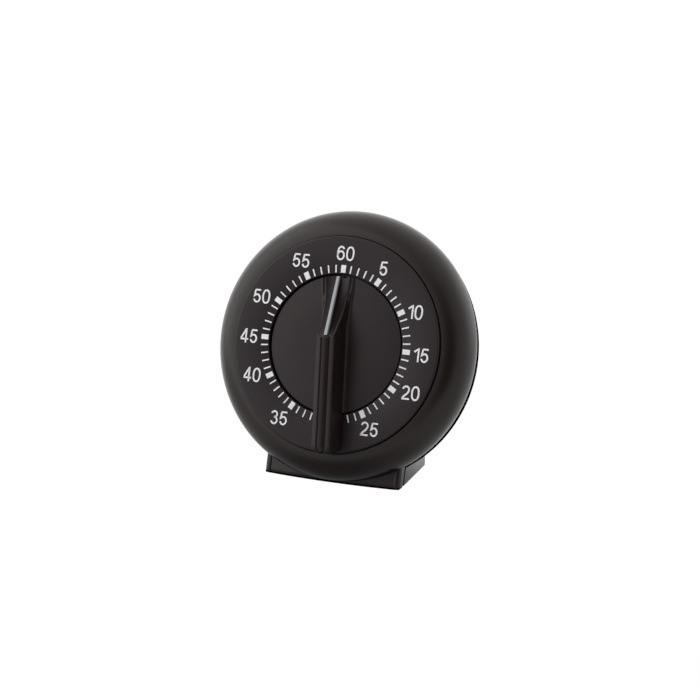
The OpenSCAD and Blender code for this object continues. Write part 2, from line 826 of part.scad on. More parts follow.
module spring_washer() {
    color("#b0b4b8") leaned() ring_slab(washer_r, winding_r + run_gap, washer_d,
                                             washer_d + washer_t);
}

// The cam lets the hammer fall through its notch when the timer has run down
module trip_cam() {
    a = atan2(hammer_p[1], hammer_p[0]);
    color("#b3975a") leaned() difference() {
        union() {
            slab(cam_r, cam_d, cam_d + cam_t);
            slab(winding_r + 1, washer_d + washer_t, cam_d + 0.1);
        }
        slab(winding_r + fit, washer_d - over, cam_d + cam_t + over);
        rotate([0, 0, a]) translate([cam_r - 1.2, -0.9, -cam_d - cam_t - over])
            cube([over + 1.2, 1.8, cam_t + 2 * over - 0.01]);
    }
}

module second_wheel() {
    color("#cdae62") leaned() wheel(second_p, second_teeth, train_module, third_a, second_d);
}

module second_pinion() {
    color("#a4a8ad") leaned() pinion(second_p, second_pinion_leaves, main_module, second_a,
                                     main_d - level_gap, main_d + main_t + level_gap);
}

module third_wheel() {
    color("#cdae62") leaned() wheel(third_p, third_teeth, train_module, escape_a, third_d);
}

module third_pinion() {
    color("#a4a8ad") leaned() pinion(third_p, third_pinion_leaves, train_module, third_a,
                                     second_d - level_gap, second_d + wheel_t + level_gap);
}

module escape_wheel() {
    color("#cdae62") leaned() difference() {
        translate([escape_p[0], escape_p[1], -escape_d - wheel_t]) linear_extrude(wheel_t)
            polygon([
                for (i = [0 : escape_teeth - 1], k = [0, 1])
                polar(escape_r * (k == 0 ? 0.72 : 1), 360 / escape_teeth * (i + 0.6 * k))
            ]);
        slab_at(escape_p, arbor_r + fit, escape_d - over, escape_d + wheel_t + over);
    }
}

module escape_pinion() {
    color("#a4a8ad") leaned() pinion(escape_p, escape_pinion_leaves, train_module, escape_a,
                                     third_d - level_gap, third_d + wheel_t + level_gap);
}

module pallet_lever() {
    color("#8b8f95") leaned() difference() {
        union() {
            slab_at(pallet_p, arbor_r + 0.7, pallet_d, pallet_d + pallet_t);
            for (a = [pallet_a - 37, pallet_a + 37]) {
                pin_p = escape_p + polar(escape_r + 0.9, a);
                arm(pallet_p, pin_p, 0.9, pallet_d, pallet_d + pallet_t);
                slab_at(pin_p, 0.35, pallet_d, escape_d + wheel_t);
            }
        }
        slab_at(pallet_p, arbor_r + fit, pallet_d - over, pallet_d + pallet_t + over);
    }
}

module pallet_arbor() {
    color("#a4a8ad") leaned() {
        slab_at(pallet_p, arbor_r, inside_d + level_gap, back_plate_d - level_gap);
        slab_at(pallet_p, pivot_r, front_plate_d + 0.1, back_plate_end_d - 0.1);
    }
}

module balance_wheel() {
    color("#cdae62") leaned() difference() {
        union() {
            translate([pallet_p[0], pallet_p[1], 0])
                ring_slab(balance_r, balance_r - 1, balance_d, balance_d + wheel_t);
            for (a = [0, 90]) arm(pallet_p - polar(balance_r - 0.6, a),
                                  pallet_p + polar(balance_r - 0.6, a), 0.8,
                                  balance_d, balance_d + wheel_t);
            slab_at(pallet_p, arbor_r + 0.8, balance_d, balance_d + wheel_t);
        }
        slab_at(pallet_p, arbor_r + fit, balance_d - over, balance_d + wheel_t + over);
    }
}

module hammer() {
    hub_d = hammer_d - 0.2;
    color("#9da1a6") leaned() difference() {
        union() {
            arm(hammer_p, hammer_head_p, hammer_arm_w, hammer_d, hammer_d + hammer_arm_t);
            slab_at(hammer_head_p, hammer_head_r, hammer_d - 0.6, hammer_d + hammer_arm_t + 0.8);
            slab_at(hammer_p, arbor_r + 0.7, hub_d, hammer_d + hammer_arm_t);
        }
        slab_at(hammer_p, arbor_r + fit, hub_d - over, hammer_d + hammer_arm_t + over);
    }
}

// The hammer's arbor, with the tail that rides on the trip cam
module hammer_arbor() {
    tail_r = 0.6;
    tail_p = polar(cam_r + level_gap + tail_r, atan2(hammer_p[1], hammer_p[0]));
    color("#a4a8ad") leaned() {
        slab_at(hammer_p, pivot_r, front_plate_d + 0.1, inside_d + 1);
        slab_at(hammer_p, arbor_r, inside_d + level_gap, hammer_d + hammer_arm_t);
        arm(hammer_p, tail_p, 2 * tail_r, cam_d, cam_d + cam_t);
    }
}

// Three close turns of flat wire round the hammer's arbor, with one leg held by the back plate
module hammer_spring() {
    turn_h = hammer_wire_w * 1.15;
    first_d = back_plate_end_d + 0.1;
    color("#b0b4b8") leaned() difference() {
        union() {
            for (i = [0 : 2]) slab_at(hammer_p, hammer_coil_r + hammer_wire_w,
                                      first_d + i * turn_h, first_d + i * turn_h + hammer_wire_w);
            slab_at(hammer_p, hammer_coil_r + hammer_wire_w * 0.8, first_d, first_d + 3 * turn_h);
            translate([hammer_spring_p[0] - hammer_wire_w / 2, hammer_spring_p[1] - hammer_wire_w / 2,
                       -first_d - hammer_wire_w])
                cube([hammer_wire_w, hammer_p[1] - hammer_spring_p[1], hammer_wire_w]);
            slab_at(hammer_spring_p, hammer_foot_r, back_plate_d + 0.2, first_d + 0.1);
        }
        slab_at(hammer_p, hammer_coil_r, first_d - over, first_d + 3 * turn_h + over);
    }
}

front_housing();
rear_housing();
dial_plate();
minute_marks();
case_screws();
front_plate();
back_plate();
plate_pillars();
pillar_screws();
movement_screws();
arbor_bushes();
mainspring();
spring_post();
bell();
bell_post();
bell_screw();
hammer_spring();
knob();
pointer_rib();
winding_arbor();
ratchet_wheel();
click();
main_wheel();
spring_washer();
trip_cam();
second_wheel();
second_pinion();
third_wheel();
third_pinion();
escape_wheel();
escape_pinion();
pallet_lever();
pallet_arbor();
balance_wheel();
hammer();
hammer_arbor();
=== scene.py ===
"""A round wind-up countdown timer on its small foot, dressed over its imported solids."""
import json

import bmesh
import bpy
import numpy as np
from mathutils import Matrix


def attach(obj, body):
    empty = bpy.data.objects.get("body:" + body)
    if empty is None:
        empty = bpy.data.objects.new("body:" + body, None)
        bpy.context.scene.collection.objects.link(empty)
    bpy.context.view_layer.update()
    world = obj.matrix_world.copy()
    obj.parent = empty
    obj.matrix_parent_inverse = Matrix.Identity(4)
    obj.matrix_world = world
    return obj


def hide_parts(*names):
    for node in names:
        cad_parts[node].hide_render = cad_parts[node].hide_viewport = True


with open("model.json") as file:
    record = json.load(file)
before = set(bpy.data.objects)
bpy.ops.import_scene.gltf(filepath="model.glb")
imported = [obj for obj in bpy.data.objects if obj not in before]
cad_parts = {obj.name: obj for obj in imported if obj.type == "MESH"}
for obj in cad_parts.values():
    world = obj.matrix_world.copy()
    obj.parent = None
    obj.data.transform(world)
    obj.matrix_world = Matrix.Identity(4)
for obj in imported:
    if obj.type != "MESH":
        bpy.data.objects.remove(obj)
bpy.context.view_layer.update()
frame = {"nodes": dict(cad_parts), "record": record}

# ---------------------------------------------------------------- the dial's own axes
# Everything on the timer is turned or set out from the dial. Its centre and its axis are those
# of the winding arbor: x runs right, y up the dial, and z out towards the reader.
mm = 0.001
arbor = next(j for j in frame["record"]["behaviour"]["joints"] if j["name"] == "knob_turn")
dial_centre = np.array(arbor["pos_m"])
dial_out = -np.array(arbor["axis"])
dial_right = np.array([1.0, 0.0, 0.0])
dial_up = np.cross(dial_out, dial_right)


def on_dial(x, y, z):
    """The dial's centre, plus x to the right, y up the dial and z out of it, given in mm."""
    x, y, z = np.broadcast_arrays(x, y, z)
    way = x[..., None] * dial_right + y[..., None] * dial_up + z[..., None] * dial_out
    return dial_centre + way * mm


# ---------------------------------------------------------------- camera
# A long lens, right of the dial's front and a little above it.
camera_data = bpy.data.cameras.new("camera")
camera_data.lens = 87.43
camera_data.sensor_width = 36
camera_data.sensor_fit = "HORIZONTAL"
camera = bpy.data.objects.new("camera", camera_data)
camera.location = dial_centre + np.array([167.08, -415.12, 130.83]) * mm
camera.rotation_euler = np.radians([73.51, 0, 21.38])
bpy.context.collection.objects.link(camera)
bpy.context.scene.camera = camera
bpy.context.scene.view_settings.view_transform = "Standard"


# ---------------------------------------------------------------- studio
# A pale table in a white room, whose side behind the camera is dim, so that black plastic
# shows its round edges. A broad soft lamp stands at the upper left, a weaker one at the right.
def node(tree, kind, place, **settings):
    """One node of a tree, with its properties and its inputs' values set by name."""
    made = tree.nodes.new(kind)
    made.location = place
    for name, value in settings.items():
        if hasattr(made, name):
            setattr(made, name, value)
        else:
            made.inputs[name.replace("_", " ")].default_value = value
    return made


def wired(tree, *pairs):
    """Links the output to the input of each pair."""
    for source, target in pairs:
        tree.links.new(source, target)


def soft_light(name, at, size, watts):
    """A square lamp at a place given in mm from the dial's centre, facing that centre."""
    data = bpy.data.lights.new(name, "AREA")
    data.shape = "SQUARE"
    data.size = size * mm
    data.energy = watts
    lamp = bpy.data.objects.new(name, data)
    place = np.array(at) * mm
    lamp.location = dial_centre + place
    back = place / np.linalg.norm(place)
    side = np.cross((0, 0, 1), back)
    side = side / np.linalg.norm(side)
    turn = np.stack([side, np.cross(back, side), back], axis=1)
    lamp.rotation_mode = "QUATERNION"
    lamp.rotation_quaternion = Matrix(turn.tolist()).to_quaternion()
    bpy.context.collection.objects.link(lamp)


soft_light("window", (-560, -360, 380), 900, 2.8)
soft_light("side_card", (520, 430, 200), 520, 0.5)


def white_room():
    """A room whose walls grow brighter with the distance from the dim side's middle, which
    counts most from front to back. The camera itself sees them white."""
    world = bpy.data.worlds.new("room")
    bpy.context.scene.world = world
    world.use_nodes = True
    tree = world.node_tree
    tree.nodes.clear()
    path = node(tree, "ShaderNodeLightPath", (-300, 250))
    where = node(tree, "ShaderNodeTexCoord", (-1000, 0))
    away = node(tree, "ShaderNodeVectorMath", (-850, 0), operation="SUBTRACT")
    away.inputs[1].default_value = (0.455, -0.822, 0.34)
    taller = node(tree, "ShaderNodeVectorMath", (-700, 0), operation="MULTIPLY")
    taller.inputs[1].default_value = (0.34, 0.5, 0.27)
    far = node(tree, "ShaderNodeVectorMath", (-550, 0), operation="LENGTH")
    walls = node(tree, "ShaderNodeValToRGB", (-400, 0))
    for place, level in ((0.09, 0.03), (0.15, 0.26), (0.21, 0.44), (0.28, 0.47), (0.36, 0.54),
                         (0.44, 0.64), (0.54, 0.72), (0.62, 0.84)):
        walls.color_ramp.elements.new(place).color = (level, level, level, 1)
    room = node(tree, "ShaderNodeMixRGB", (-100, 0), Color2=(1, 1, 1, 1))
    sky = node(tree, "ShaderNodeBackground", (100, 0), Strength=1.7)
    out = node(tree, "ShaderNodeOutputWorld", (300, 0))
    wired(tree, (where.outputs["Generated"], away.inputs[0]), (away.outputs["Vector"], taller.inputs[0]),
          (taller.outputs["Vector"], far.inputs[0]), (far.outputs["Value"], walls.inputs["Fac"]),
          (path.outputs["Is Camera Ray"], room.inputs["Fac"]),
          (walls.outputs["Color"], room.inputs["Color1"]), (room.outputs[0], sky.inputs["Color"]),
          (sky.outputs[0], out.inputs["Surface"]))


def table_finish():
    """It glows white for the camera. In the plastic's reflections it is dim just before the foot, as a
    painted shadow of the timer, and bright behind it, and to all other rays it is a dark matt board."""
    made = bpy.data.materials.new("table_paint")
    made.use_nodes = True
    tree = made.node_tree
    tree.nodes.clear()
    path = node(tree, "ShaderNodeLightPath", (-600, 0))
    seen = node(tree, "ShaderNodeMath", (-500, 0), operation="MAXIMUM")
    place = node(tree, "ShaderNodeTexCoord", (-900, -200))
    parts = node(tree, "ShaderNodeSeparateXYZ", (-750, -200))
    # A pool of painted shadow just before the foot, seen only in reflections.
    ahead = node(tree, "ShaderNodeVectorMath", (-750, -450), operation="SUBTRACT")
    ahead.inputs[1].default_value = (0, -0.025, 0)
    far = node(tree, "ShaderNodeVectorMath", (-600, -450), operation="LENGTH")
    clear = node(tree, "ShaderNodeMapRange", (-450, -450), From_Min=0.01, From_Max=0.045,
                 To_Min=0.15, To_Max=0.66)
    behind = node(tree, "ShaderNodeMapRange", (-600, -200), From_Min=-0.008, From_Max=0.012)
    either = node(tree, "ShaderNodeMath", (-450, -200), operation="MAXIMUM")
    mirrored = node(tree, "ShaderNodeMath", (-350, 0), operation="MULTIPLY_ADD")
    share = node(tree, "ShaderNodeMath", (-200, 0), operation="MULTIPLY")
    share.inputs[1].default_value = 0.99
    matt = node(tree, "ShaderNodeBsdfDiffuse", (-200, -200), Color=(0.12, 0.12, 0.12, 1))
    power = node(tree, "ShaderNodeMath", (-350, -350), operation="MULTIPLY_ADD")
    power.inputs[1].default_value = 0.3
    power.inputs[2].default_value = 1.02
    glow = node(tree, "ShaderNodeEmission", (-200, -350), Color=(1, 1, 1, 1))
    mix = node(tree, "ShaderNodeMixShader", (0, 0))
    out = node(tree, "ShaderNodeOutputMaterial", (200, 0))
    wired(tree, (path.outputs["Is Camera Ray"], seen.inputs[0]),
          (path.outputs["Is Transmission Ray"], seen.inputs[1]), (place.outputs["Object"], parts.inputs[0]),
          (parts.outputs["Y"], behind.inputs["Value"]), (path.outputs["Is Glossy Ray"], mirrored.inputs[0]),
          (place.outputs["Object"], ahead.inputs[0]), (ahead.outputs["Vector"], far.inputs[0]),
          (far.outputs["Value"], clear.inputs["Value"]), (clear.outputs["Result"], either.inputs[0]),
          (behind.outputs["Result"], either.inputs[1]), (either.outputs[0], mirrored.inputs[1]),
          (path.outputs["Is Glossy Ray"], power.inputs[0]), (power.outputs[0], glow.inputs["Strength"]),
          (seen.outputs[0], mirrored.inputs[2]), (mirrored.outputs[0], share.inputs[0]),
          (share.outputs[0], mix.inputs["Fac"]), (matt.outputs[0], mix.inputs[1]),
          (glow.outputs[0], mix.inputs[2]), (mix.outputs[0], out.inputs["Surface"]))
    return made


white_room()

table = bpy.data.meshes.new("table_top")
reach = 3000 * mm
table.from_pydata([(-reach, -reach, 0), (reach, -reach, 0), (reach, reach, 0), (-reach, reach, 0)],
                  [], [(0, 1, 2, 3)])
table_top = bpy.data.objects.new("table_top", table)
table_top.data.materials.append(table_finish())
bpy.context.collection.objects.link(table_top)

# ---------------------------------------------------------------- rear housing
# The domed back shell and the rear half of the foot: one moulding in black plastic with a
# fine spark-eroded grain, held by four screws in deep wells.


def moulding_grain():
    """Group: a fine grain for Height, slow blotches for Tone, and both together for Gloss."""
    group = bpy.data.node_groups.new("moulding_grain", "ShaderNodeTree")
    for name, value in (("Grains per mm", 5.0), ("Blotch size in mm", 12.0)):
        socket = group.interface.new_socket(name, in_out="INPUT", socket_type="NodeSocketFloat")
        socket.default_value = value
    for name in ("Height", "Tone", "Gloss"):
        group.interface.new_socket(name, in_out="OUTPUT", socket_type="NodeSocketFloat")
    given = node(group, "NodeGroupInput", (-900, 0))
    result = node(group, "NodeGroupOutput", (500, 0))
    place = node(group, "ShaderNodeTexCoord", (-900, -200))
    per_metre = node(group, "ShaderNodeMath", (-700, 100), operation="MULTIPLY")
    per_metre.inputs[1].default_value = 1 / mm
    blotch = node(group, "ShaderNodeMath", (-700, -350), operation="DIVIDE")
    blotch.inputs[0].default_value = 1 / mm
    grain = node(group, "ShaderNodeTexNoise", (-450, 150), Detail=3.0, Roughness=0.65)
    pits = node(group, "ShaderNodeTexVoronoi", (-450, -100))
    slow = node(group, "ShaderNodeTexNoise", (-450, -350), Detail=2.0)
    both = node(group, "ShaderNodeMath", (-200, 50), operation="MULTIPLY_ADD")
    both.inputs[1].default_value = 0.4
    gloss = node(group, "ShaderNodeMath", (0, -200), operation="MULTIPLY_ADD")
    gloss.inputs[1].default_value = 0.5
    wired(group, (given.outputs[0], per_metre.inputs[0]), (given.outputs[1], blotch.inputs[1]))
    for texture, scale in ((grain, per_metre), (pits, per_metre), (slow, blotch)):
        wired(group, (place.outputs["Object"], texture.inputs["Vector"]),
              (scale.outputs[0], texture.inputs["Scale"]))
    wired(group, (pits.outputs["Distance"], both.inputs[0]), (grain.outputs["Fac"], both.inputs[2]),
          (grain.outputs["Fac"], gloss.inputs[0]), (slow.outputs["Fac"], gloss.inputs[2]),
          (both.outputs[0], result.inputs["Height"]), (slow.outputs["Fac"], result.inputs["Tone"]),
          (gloss.outputs[0], result.inputs["Gloss"]))
    return group


grain_group = moulding_grain()
mix_a, mix_b, mixed = 6, 7, 2  # a Mix node's two colour inputs and its colour output


def moulded_plastic(name, dark, light, rough, shine, grains, depth):
    """Plastic whose colour drifts between two tones, whose roughness follows the grain between
    rough's two values, and whose surface is lifted by the grain to a depth in mm."""
    made = bpy.data.materials.new(name)
    made.use_nodes = True
    tree = made.node_tree
    shader = tree.nodes["Principled BSDF"]
    shader.inputs["Specular IOR Level"].default_value = shine
    grain = node(tree, "ShaderNodeGroup", (-800, 0), node_tree=grain_group)
    grain.inputs["Grains per mm"].default_value = grains
    tone = node(tree, "ShaderNodeMix", (-450, 200), data_type="RGBA")
    tone.inputs[mix_a].default_value = (*dark, 1)
    tone.inputs[mix_b].default_value = (*light, 1)
    spread = node(tree, "ShaderNodeMapRange", (-450, -50), From_Min=0.3, From_Max=1.0,
                  To_Min=rough[0], To_Max=rough[1])
    bump = node(tree, "ShaderNodeBump", (-450, -350), Distance=depth * mm)
    wired(tree, (grain.outputs["Tone"], tone.inputs["Factor"]),
          (grain.outputs["Gloss"], spread.inputs["Value"]),
          (grain.outputs["Height"], bump.inputs["Height"]),
          (tone.outputs[mixed], shader.inputs["Base Color"]),
          (spread.outputs["Result"], shader.inputs["Roughness"]),
          (bump.outputs["Normal"], shader.inputs["Normal"]))
    return made


case_plastic = moulded_plastic(
    "case_plastic", dark=(0.0105, 0.0050, 0.0040), light=(0.0125, 0.0064, 0.0052),
    rough=(0.25, 0.33), shine=0.32, grains=5.0, depth=0.004)

case_r = 38.0                  # the rim at its widest
rim_round = 8.0
band_drop = 1.2                # the band round the dial, behind the dial's face
wall = 2.0
seam_d = 12.6                  # front edge of the shadow gap between the housings
rear_d = 13.5                  # its rear edge
rim_c = case_r - rim_round
rim_c_d = band_drop + rim_round


def rounded(corners, radii):
    """A closed outline through corners, each one replaced by an arc of its own radius, which
    touches both sides: the arc's ends lie r / tan(half angle) from the corner."""
    corners = np.asarray(corners, float)
    points = []
    for before, at, after, r in zip(np.roll(corners, 1, 0), corners, np.roll(corners, -1, 0), radii):
        if r == 0:
            points.append(at[None])
            continue
        u = (before - at) / np.linalg.norm(before - at)
        w = (after - at) / np.linalg.norm(after - at)
        half = np.arccos(np.clip(u @ w, -1, 1)) / 2
        middle = at + (u + w) / np.linalg.norm(u + w) * r / np.sin(half)
        start = at + u * r / np.tan(half) - middle
        end = at + w * r / np.tan(half) - middle
        share = np.linspace(0, 1, 7)[:, None]
        between = np.arccos(np.clip(start @ end / r ** 2, -1, 1))
        points.append(middle + (np.sin((1 - share) * between) * start
                                + np.sin(share * between) * end) / np.sin(between))
    return np.concatenate(points)


def arc(centre, r, first, last, steps):
    """Points on a circle about centre, from the first angle to the last, in degrees."""
    a = np.radians(np.linspace(first, last, steps))
    return np.stack([centre[0] + r * np.cos(a), centre[1] + r * np.sin(a)], -1)


def grid_piece(name, points, material, wrap_rows=False, wrap_cols=False, caps=False, sharp=35):
    """A surface through a grid of points: each cell is one face. A wrapped side joins its last
    line to its first. Caps close the first and the last row."""
    rows, cols = points.shape[:2]
    i = np.arange(rows if wrap_rows else rows - 1)[:, None]
    j = np.arange(cols if wrap_cols else cols - 1)[None, :]
    down, right = (i + 1) % rows, (j + 1) % cols
    corners = (i * cols + j, i * cols + right, down * cols + right, down * cols + j)
    cells = np.stack(np.broadcast_arrays(*corners), -1)
    faces = cells.reshape(-1, 4).tolist()
    if caps:
        faces += [list(range(cols))[::-1], list(range((rows - 1) * cols, rows * cols))]
    mesh = bpy.data.meshes.new(name)
    mesh.from_pydata(points.reshape(-1, 3).tolist(), [], faces)
    return finished(name, mesh, material, sharp)


def finished(name, mesh, material, sharp):
    """Merges doubled points, turns the faces outwards, and shades them smooth up to an angle."""
    work = bmesh.new()
    work.from_mesh(mesh)
    bmesh.ops.remove_doubles(work, verts=work.verts, dist=0.0005 * mm)
    bmesh.ops.recalc_face_normals(work, faces=work.faces)
    work.to_mesh(mesh)
    work.free()
    mesh.polygons.foreach_set("use_smooth", np.ones(len(mesh.polygons), bool))
    mesh.set_sharp_from_angle(angle=np.radians(sharp))
    mesh.materials.append(material)
    piece = bpy.data.objects.new(name, mesh)
    bpy.context.collection.objects.link(piece)
    return piece


def turned(name, outline, material, steps=256, rise=0.0, sharp=35, closed=True):
    """An outline of (radius, height over the dial), closed or from pole to pole, carried once
    round the dial's axis. From the dial's edge outwards it is moved up the dial by
    rise * (radius - rim_c) / rim_round."""
    a = np.linspace(0, 2 * np.pi, steps, endpoint=False)[:, None]
    r, z = outline[None, :, 0], outline[None, :, 1]
    up = rise * np.maximum(r - rim_c, 0) / rim_round
    return grid_piece(name, on_dial(r * np.cos(a), r * np.sin(a) + up, z + 0 * a), material,
                      wrap_rows=True, wrap_cols=closed, sharp=sharp)


def placed(piece, body, slot, *nodes):
    """The piece rides on a body and stands for the CAD nodes. The slot is not used."""
    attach(piece, body)
    if nodes:
        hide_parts(*nodes)
    return piece


def joined(piece, how, *others):
    """Adds the other shapes to the piece, or takes them away from it, and drops them."""
    for other in others:
        step = piece.modifiers.new("cut", "BOOLEAN")
        step.object, step.operation, step.solver = other, how, "EXACT"
    graph = bpy.context.evaluated_depsgraph_get()
    shape = bpy.data.meshes.new_from_object(piece.evaluated_get(graph))
    piece.modifiers.clear()
    piece.data = shape
    for other in others:
        bpy.data.objects.remove(other)


def posts(name, at, r, low, high):
    """Round posts along the dial's axis, one at each place, between two heights. They cut a
    moulding, so they have its plastic."""
    a = np.linspace(0, 2 * np.pi, 48, endpoint=False)[None, :]
    z = np.array([low, high])[:, None]
    return [grid_piece(f"{name}_{k}", on_dial(x + r * np.cos(a), y + r * np.sin(a), z),
                       case_plastic, wrap_cols=True, caps=True)
            for k, (x, y) in enumerate(at)]


dome_edge_r = 36.95            # the dome's edge at the shadow gap
back_r = 18.5                  # the flat in the middle of the back
case_depth = 28.9
dome_r = 27.5                  # the round of the dome's side
lip_r, lip_t, lip_front_d = 34.74, 1.6, 8.2
foot_half = 20.2
foot_back = 19.7               # the foot's upright rear face, behind the dial's centre
foot_back_h = 8.0              # the height of that face
foot_top_y, foot_top_h = 10.0, 14.0  # where the slope over it ends, and the foot's top there
up_y, up_z = dial_up[1], dial_up[2]
centre_y, centre_h = dial_centre[1] / mm, dial_centre[2] / mm


def arc_centre(a, b, r):
    """The centre of the circle of radius r that runs from a to b: from their middle it lies
    sqrt(r^2 - (half their distance)^2) to the left of the way from a to b."""
    a, b = np.array(a), np.array(b)
    span = np.linalg.norm(b - a)
    way = (b - a) / span
    return (a + b) / 2 + np.array([-way[1], way[0]]) * np.sqrt(r ** 2 - (span / 2) ** 2)


dome_c = np.round(arc_centre((back_r, -case_depth), (dome_edge_r, -rear_d), dome_r), 4)


def dome_arc(r, low_d, high_d, steps):
    """The dome's arc about its centre with radius r, between two depths behind the dial."""
    first = -np.degrees(np.arcsin((low_d + dome_c[1]) / r))
    last = -np.degrees(np.arcsin((high_d + dome_c[1]) / r))
    return arc(dome_c, r, first, last, steps)


shell = np.concatenate([
    [[0, -case_depth]], [[back_r - 0.9, -case_depth]],
    rounded([[back_r - 0.9, -case_depth], [back_r, -case_depth], dome_arc(dome_r, 28.0, 28.0, 1)[0]],
            [0, 0.8, 0])[1:-1],
    dome_arc(dome_r, 28.0, rear_d + 0.35, 48),
    [[dome_edge_r - 0.07, -rear_d - 0.12], [dome_edge_r - 0.18, -rear_d - 0.03],
     [dome_edge_r - 0.35, -rear_d], [lip_r, -rear_d], [lip_r, -lip_front_d - 0.2],
     [lip_r - 0.2, -lip_front_d], [0, -lip_front_d]],
])
rear_shell = turned("rear_shell", shell, case_plastic, closed=False)
hollow = turned("hollow", np.concatenate([
    [[0, -case_depth + wall]], dome_arc(dome_r - wall, case_depth - wall, rear_d + wall, 24),
    [[lip_r - lip_t, -rear_d - wall], [lip_r - lip_t, -lip_front_d + 1], [0, -lip_front_d + 1]],
]), case_plastic, closed=False)


def floor_y(d, h=0.0):
    """Where a height h over the floor lies up the dial, at a depth d behind the dial's face:
    (d sin(lean) - the centre's height + h) / cos(lean)."""
    return (d * up_y - centre_h + h) / up_z


def foot_rear_rows():
    """Rows from left to right; each is the foot's side outline, drawn in towards its middle near
    the two ends by the round of its edge, r (1 - cos), while the row itself moves out by r sin."""
    edge, steps = 0.9, 7
    turn = np.radians(np.linspace(90, 0, steps))
    out = foot_half - edge + edge * np.sin(turn)
    drawn = edge * (1 - np.cos(turn))
    xs = np.concatenate([-out, out[::-1]])
    insets = np.concatenate([drawn, drawn[::-1]])
    rows = []
    for x, inset in zip(xs, insets):
        low = centre_y + rear_d * up_z + floor_y(rear_d) * up_y
        high = low + foot_top_h * up_y / up_z
        back = centre_y + foot_back - inset
        side = rounded([[low, 0], [back, 0], [back, foot_back_h - inset],
                        [centre_y + foot_top_y, foot_top_h - inset], [high, foot_top_h - inset]],
                       [0, 0.3, 1.4, 2.5, 0])
        rows.append(np.stack([np.full(len(side), x), side[:, 0], side[:, 1]], -1))
    return np.array(rows) * mm


screw_as = np.radians([45, 135, 225, 315])
screw_circle_r = 27.5
screw_places = screw_circle_r * np.stack([np.cos(screw_as), np.sin(screw_as)], -1)
post_r, well_r, shank_r = 3.8, 2.6, 1.35
seat_d = 16.8                  # a screw's head sits this deep behind the dial's face
far_d = 60.0                   # behind everything
foot_rear = grid_piece("foot_rear", foot_rear_rows(), case_plastic, wrap_cols=True, caps=True)
joined(hollow, "DIFFERENCE", *posts("post", screw_places, post_r, -far_d, -seam_d))
joined(rear_shell, "UNION", foot_rear)
joined(rear_shell, "DIFFERENCE", hollow)
joined(rear_shell, "DIFFERENCE", *posts("well", screw_places, well_r, -far_d, -seat_d),
       *posts("shank_hole", screw_places, shank_r, -seat_d - 0.7, -seam_d + 1))


def floor_cut(piece):
    """Nothing lies below the floor: heights under it become zero."""
    mesh = piece.data
    co = np.empty(len(mesh.vertices) * 3)
    mesh.vertices.foreach_get("co", co)
    co[2::3] = np.maximum(co[2::3], 0)
    mesh.vertices.foreach_set("co", co)
    mesh.update()


def smooth_up_to(piece, degrees):
    """Shades smooth, with a crease wherever two faces meet at more than the angle."""
    piece.data.polygons.foreach_set("use_smooth", np.ones(len(piece.data.polygons), bool))
    piece.data.set_sharp_from_angle(angle=np.radians(degrees))


floor_cut(rear_shell)
smooth_up_to(rear_shell, 28)
placed(rear_shell, "case", "black_plastic", "rear_housing")

# The step behind the shadow gap is near-black and matt: painted shade standing in for the gap's shadow, so
# it reads as one thin black line.
painted_shade_black = moulded_plastic(
    "painted_shade_black", dark=(0.0010, 0.0008, 0.0008), light=(0.0014, 0.0012, 0.0012),
    rough=(0.85, 0.95), shine=0.0, grains=5.0, depth=0.004)
gap_r = 37.27
gap_outline = np.array([
    [lip_r - 0.5, -rear_d - 0.1], [gap_r - 0.07, -rear_d - 0.1], [gap_r, -rear_d],
    [gap_r, -seam_d - 0.12], [gap_r - 0.12, -seam_d - 0.05], [lip_r - 0.5, -seam_d - 0.05],
])
gap_shade_ring = turned("gap_shade_ring", gap_outline, painted_shade_black, steps=320, rise=-0.22)
floor_cut(gap_shade_ring)
placed(gap_shade_ring, "case", "black_plastic", "rear_housing")


# The seam between the foot's halves is filled with a near-black block: painted shade for the gap's shadow.
def foot_gap_rows():
    """Two rows, each the outline of the step between the foot's halves, from its left to its right
    end; the step stays a little inside both halves' outlines."""
    d = np.array([seam_d + 0.05, seam_d + 0.05, rear_d + 0.1, rear_d + 0.1])
    low = floor_y(d, 0.15)
    y = np.stack([low[0], low[0] + 9, low[2] + 9, low[2]])
    x = np.array([[-foot_half + 0.15], [foot_half - 0.15]])
    return on_dial(x, y, -d)


foot_gap_shade = grid_piece("foot_gap_shade", foot_gap_rows(), painted_shade_black, wrap_cols=True, caps=True)
placed(foot_gap_shade, "case", "black_plastic", "rear_housing")

# ---------------------------------------------------------------- front housing
# The front shell: a broad rounded rim round a flat band, and the front half of the foot. It
# is moulded in the same plastic, and the rear housing's lip slides into its open back.
tail = 0.75                    # behind its widest place the rim's round is flattened to this share
rim_seen = 7.775               # the rim's round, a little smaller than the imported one
rim_swell = [0, rim_round - rim_seen] * np.linspace(1, 0, 50)[:, None]
seam_r = 36.5                  # the shell's edge at the shadow gap
opening_r, recess_r = 19.5, 30.0  # the dial's opening, and the recess that the dial lies in
dial_t = 2.2
hub_hole_r = 5.1
face_floor_d, face_back_d = 3.0, 4.4  # the wall behind the knob: its front and its back
face_end = np.degrees(np.arcsin((rim_c_d - face_back_d) / (rim_round - wall)))
front_outline = np.concatenate([
    [[hub_hole_r, -face_floor_d], [opening_r, -face_floor_d], [opening_r, -dial_t],
     [recess_r, -dial_t]],
    arc((recess_r + 0.2, -band_drop - 0.2), 0.2, 180, 92, 8),
    arc((rim_c, -rim_c_d), rim_seen, 86, 0, 50) + rim_swell,
    arc((rim_c, 0), rim_seen, -1, -33.4, 18) * [1, tail] - [0, rim_c_d],
    [[seam_r - 0.05, -seam_d + 0.07], [seam_r - 0.14, -seam_d + 0.02], [seam_r - 0.3, -seam_d],
     [lip_r + 0.2, -seam_d]],
    arc((rim_c, -rim_c_d), rim_round - wall, -34.5, face_end, 20), [[hub_hole_r, -face_back_d]],
])
front_shell = turned("front_shell", front_outline, case_plastic, steps=320, rise=0.21, sharp=30)
floor_cut(front_shell)
placed(front_shell, "case", "black_plastic", "front_housing")

